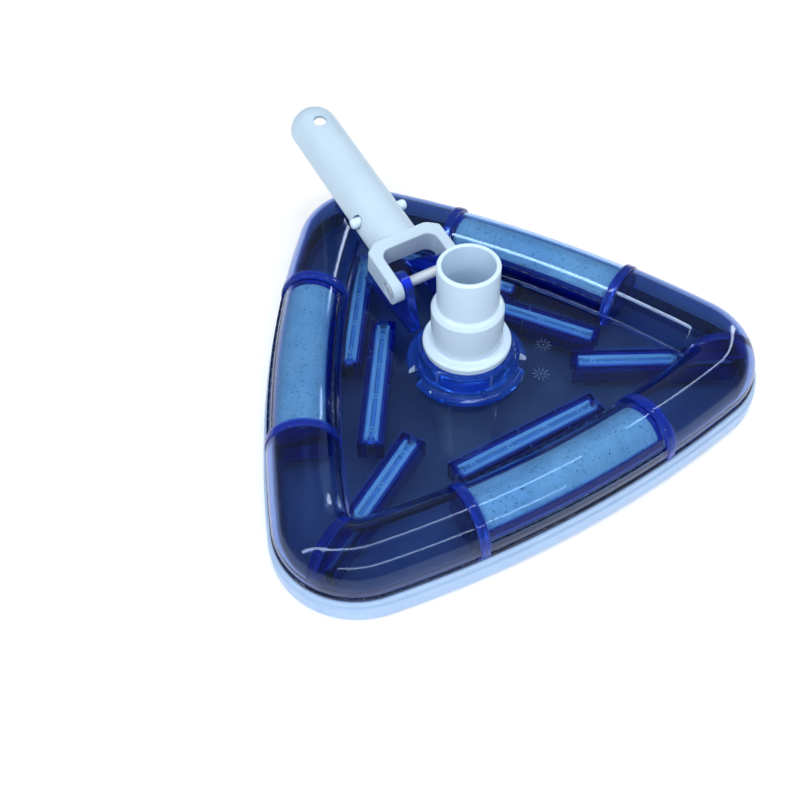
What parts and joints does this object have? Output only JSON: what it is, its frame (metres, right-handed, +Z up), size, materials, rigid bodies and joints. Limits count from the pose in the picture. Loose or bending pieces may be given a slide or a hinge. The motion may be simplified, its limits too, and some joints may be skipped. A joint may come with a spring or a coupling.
{
  "type": "manual pool vacuum head",
  "caption": "Weighted three-sided pool vacuum head: clear blue shell over brush strips, soft bumper, swivelling hose nozzle and a folding handle for a telescopic pole.",
  "frame": {"origin": "on the hose nozzle's axis, in the plane of the bumper's underside that the head stands on", "axes": "+Z up along the hose axis, +Y towards the corner below the handle, +X along the handle's hinge to the right"},
  "size_m": [0.2868, 0.2987, 0.092],
  "materials": {
    "shell": "clear deep-blue moulded plastic, polished",
    "bumper": "soft pale blue-white vinyl, smooth",
    "collar": "clear deep-blue moulded plastic, polished",
    "washer": "plain white low-friction plastic",
    "nozzle": "cool white moulded plastic, satin gloss",
    "seal": "black rubber",
    "spring_steel": "bright stainless strip",
    "handle": "pale blue-white moulded plastic, satin gloss",
    "bolt": "bright stainless steel",
    "screw": "stainless steel",
    "cover": "blue moulded plastic",
    "weight": "pale coated cast weight with dark specks",
    "brush_strip": "light blue moulded plastic",
    "bristles": "blue nylon bristles"
  },
  "bodies": {
    "head": {"body_shell": "shell", "bumper": "bumper", "hub_collar": "collar", "swivel_washer": "washer", "weight_front": "weight", "weight_right": "weight", "weight_left": "weight", "weight_cover_front": "cover", "weight_cover_right": "cover", "weight_cover_left": "cover", "cover_screws": "screw", "brush_front": "brush_strip", "brush_corner_left": "brush_strip", "brush_corner_right": "brush_strip", "brush_inner_left": "brush_strip", "brush_inner_right": "brush_strip", "brush_outer_left": "brush_strip", "brush_outer_right": "brush_strip", "bristles_front": "bristles", "bristles_corner_left": "bristles", "bristles_corner_right": "bristles", "bristles_inner_left": "bristles", "bristles_inner_right": "bristles", "bristles_outer_left": "bristles", "bristles_outer_right": "bristles"},
    "nozzle": {"swivel_nozzle": "nozzle", "nozzle_o_ring": "seal", "nozzle_clip": "spring_steel"},
    "handle": {"handle": "handle", "hinge_bolt": "bolt", "hinge_nut": "bolt", "clip_bend": "spring_steel"},
    "clip_left": {"clip_leg_left": "spring_steel"},
    "clip_right": {"clip_leg_right": "spring_steel"}
  },
  "joints": [
    {"name": "handle_pivot", "type": "hinge", "parent": "head", "child": "handle", "pos_m": [0, 0.0435, 0.0495], "axis": [1, 0, 0], "range_deg": [0, 95]},
    {"name": "hose_swivel", "type": "hinge", "parent": "head", "child": "nozzle", "pos_m": [0, 0, 0.05], "axis": [0, 0, 1], "continuous": true},
    {"name": "clip_left_press", "type": "hinge", "parent": "handle", "child": "clip_left", "pos_m": [-0.0034, 0.14581, 0.06541], "axis": [0, -0.1822, 0.9833], "range_deg": [0, 4.5], "stiffness_Nm_per_rad": 3, "springref_deg": -1.72},
    {"name": "clip_right_press", "type": "hinge", "parent": "handle", "child": "clip_right", "pos_m": [0.0034, 0.14581, 0.06541], "axis": [0, 0.1822, -0.9833], "range_deg": [0, 4.5], "stiffness_Nm_per_rad": 3, "springref_deg": -1.72}
  ]
}
